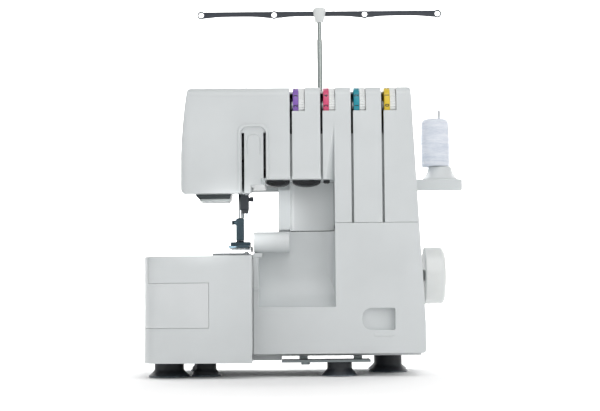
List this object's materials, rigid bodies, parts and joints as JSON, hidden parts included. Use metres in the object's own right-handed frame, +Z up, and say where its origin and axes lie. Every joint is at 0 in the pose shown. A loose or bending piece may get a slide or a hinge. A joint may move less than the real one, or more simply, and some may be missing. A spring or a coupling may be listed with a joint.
{
  "type": "serger overlock machine",
  "caption": "Four-thread overlock sewing machine with thread stand, coloured tension dials, fold-down looper cover, side table and handwheel.",
  "frame": {"origin": "middle of the overall box, on the surface the feet stand on", "axes": "+X towards the handwheel, -Y towards the user at the front, +Z up"},
  "size_m": [0.353, 0.27, 0.4291],
  "materials": {
    "casing": "moulded ABS, satin",
    "panel": "moulded ABS, satin",
    "dark_plastic": "moulded, satin",
    "rubber": "moulded, matt",
    "steel": "polished",
    "cast_metal": "die cast",
    "presser_metal": "blued steel",
    "thread": "wound polyester thread",
    "lens": "translucent",
    "dial_purple": "moulded",
    "dial_pink": "moulded",
    "dial_teal": "moulded",
    "dial_yellow": "moulded"
  },
  "bodies": {
    "base": {"front_casing": "casing", "rear_casing": "casing", "belt_cover": "casing", "power_inlet": "dark_plastic", "column_cover": "casing", "free_arm_casing": "panel", "needle_plate": "steel", "lower_knife": "steel", "main_frame": "cast_metal", "base_pan": "casing", "cover_rail": "steel", "foot_1": "rubber", "foot_2": "rubber", "foot_3": "rubber", "foot_4": "rubber", "foot_5": "rubber", "foot_6": "rubber", "lamp_housing": "dark_plastic", "lamp_lens": "lens", "thread_pad_1": "dark_plastic", "thread_pad_2": "dark_plastic", "motor": "dark_plastic", "drive_belt": "rubber", "spool_tray": "casing", "pole_lower": "steel", "spool_post_1": "panel", "spool_post_2": "panel", "spool_post_3": "panel", "spool_post_4": "panel"},
    "side_table": {"side_table": "casing"},
    "storage_cap": {"storage_cap": "panel"},
    "cover_carriage": {"cover_hinge_rod": "steel"},
    "looper_cover": {"front_cover": "casing"},
    "drive": {"handwheel": "casing", "main_shaft": "cast_metal"},
    "motor_rotor": {"motor_pulley": "cast_metal"},
    "needle_carriage": {"needle_bar": "steel", "needle_clamp": "dark_plastic", "needle": "steel"},
    "presser": {"presser_bar": "steel", "presser_ankle": "presser_metal", "presser_foot": "presser_metal"},
    "lifter": {"presser_lifter": "dark_plastic"},
    "lower_looper": {"lower_looper": "steel"},
    "upper_looper": {"upper_looper": "steel"},
    "feed": {"feed_dog": "steel"},
    "knife": {"upper_knife": "dark_plastic"},
    "pole_middle": {"pole_middle": "steel"},
    "pole_upper": {"pole_upper": "steel"},
    "thread_guide": {"guide_bar": "dark_plastic"},
    "switch": {"power_switch": "dark_plastic"},
    "handle": {"carry_handle": "panel"},
    "dial_1": {"tension_dial_1": "dial_purple"},
    "cone_1": {"thread_cone_1": "thread"},
    "dial_2": {"tension_dial_2": "dial_pink"},
    "cone_2": {"thread_cone_2": "thread"},
    "dial_3": {"tension_dial_3": "dial_teal"},
    "cone_3": {"thread_cone_3": "thread"},
    "dial_4": {"tension_dial_4": "dial_yellow"},
    "cone_4": {"thread_cone_4": "thread"}
  },
  "joints": [
    {"name": "table_slide", "type": "slide", "parent": "base", "child": "side_table", "axis": [-1, 0, 0], "range_m": [0, 0.13]},
    {"name": "storage_cap_slide", "type": "slide", "parent": "side_table", "child": "storage_cap", "axis": [-1, 0, 0], "range_m": [0, 0.06]},
    {"name": "cover_slide", "type": "slide", "parent": "base", "child": "cover_carriage", "axis": [1, 0, 0], "range_m": [0, 0.008]},
    {"name": "cover_swing", "type": "hinge", "parent": "cover_carriage", "child": "looper_cover", "pos_m": [0.0285, -0.095, 0.032], "axis": [1, 0, 0], "range_deg": [0, 85]},
    {"name": "handwheel_turn", "type": "hinge", "parent": "base", "child": "drive", "pos_m": [0.1085, -0.025, 0.106], "axis": [1, 0, 0], "continuous": true},
    {"name": "motor_turn", "type": "hinge", "parent": "base", "child": "motor_rotor", "pos_m": [0.0935, 0.06, 0.064], "axis": [1, 0, 0], "continuous": true},
    {"name": "needle_bar_slide", "type": "slide", "parent": "base", "child": "needle_carriage", "axis": [0, 0, -1], "range_m": [0, 0.028]},
    {"name": "lifter_turn", "type": "hinge", "parent": "base", "child": "lifter", "pos_m": [-0.0755, 0.035, 0.253], "axis": [0, -1, 0], "range_deg": [0, 40]},
    {"name": "presser_slide", "type": "slide", "parent": "base", "child": "presser", "axis": [0, 0, -1], "range_m": [0, 0.0047]},
    {"name": "lower_looper_swing", "type": "hinge", "parent": "base", "child": "lower_looper", "pos_m": [-0.0475, -0.055, 0.08], "axis": [0, 1, 0], "range_deg": [-8, 20]},
    {"name": "upper_looper_swing", "type": "hinge", "parent": "base", "child": "upper_looper", "pos_m": [-0.0425, -0.037, 0.096], "axis": [0, 1, 0], "range_deg": [-8, 20]},
    {"name": "feed_dog_slide", "type": "slide", "parent": "base", "child": "feed", "axis": [0, 1, 0], "range_m": [-0.0016, 0.0016]},
    {"name": "knife_slide", "type": "slide", "parent": "base", "child": "knife", "axis": [0, 0, -1], "range_m": [0, 0.008]},
    {"name": "pole_middle_slide", "type": "slide", "parent": "base", "child": "pole_middle", "axis": [0, 0, 1], "range_m": [0, 0.09]},
    {"name": "pole_upper_slide", "type": "slide", "parent": "pole_middle", "child": "pole_upper", "axis": [0, 0, 1], "range_m": [0, 0.09]},
    {"name": "guide_turn", "type": "hinge", "parent": "pole_upper", "child": "thread_guide", "pos_m": [0.0135, 0.0855, 0.4218], "axis": [0, 0, 1], "range_deg": [-90, 90]},
    {"name": "switch_rock", "type": "hinge", "parent": "base", "child": "switch", "pos_m": [0.1134, 0.023, 0.052], "axis": [0, 1, 0], "range_deg": [-10, 10]},
    {"name": "handle_lift", "type": "hinge", "parent": "base", "child": "handle", "pos_m": [-0.0215, -0.001, 0.2997], "axis": [1, 0, 0], "range_deg": [0, 90]},
    {"name": "tension_dial_1_turn", "type": "hinge", "parent": "base", "child": "dial_1", "pos_m": [-0.0183, -0.0804, 0.2875], "axis": [1, 0, 0], "range_deg": [-150, 150]},
    {"name": "tension_dial_2_turn", "type": "hinge", "parent": "base", "child": "dial_2", "pos_m": [0.0141, -0.0804, 0.2875], "axis": [1, 0, 0], "range_deg": [-150, 150]},
    {"name": "tension_dial_3_turn", "type": "hinge", "parent": "base", "child": "dial_3", "pos_m": [0.0465, -0.0804, 0.2875], "axis": [1, 0, 0], "range_deg": [-150, 150]},
    {"name": "tension_dial_4_turn", "type": "hinge", "parent": "base", "child": "dial_4", "pos_m": [0.0789, -0.0804, 0.2875], "axis": [1, 0, 0], "range_deg": [-150, 150]},
    {"name": "cone_1_lift", "type": "slide", "parent": "base", "child": "cone_1", "axis": [0, 0, 1], "range_m": [0, 0.085]},
    {"name": "cone_2_lift", "type": "slide", "parent": "base", "child": "cone_2", "axis": [0, 0, 1], "range_m": [0, 0.085]},
    {"name": "cone_3_lift", "type": "slide", "parent": "base", "child": "cone_3", "axis": [0, 0, 1], "range_m": [0, 0.085]},
    {"name": "cone_4_lift", "type": "slide", "parent": "base", "child": "cone_4", "axis": [0, 0, 1], "range_m": [0, 0.085]}
  ],
  "couplings": [
    {"joint": "motor_turn", "follows": "handwheel_turn", "ratio": 2.8889},
    {"joint": "presser_slide", "follows": "lifter_turn", "m_per_rad": 0.00673}
  ]
}
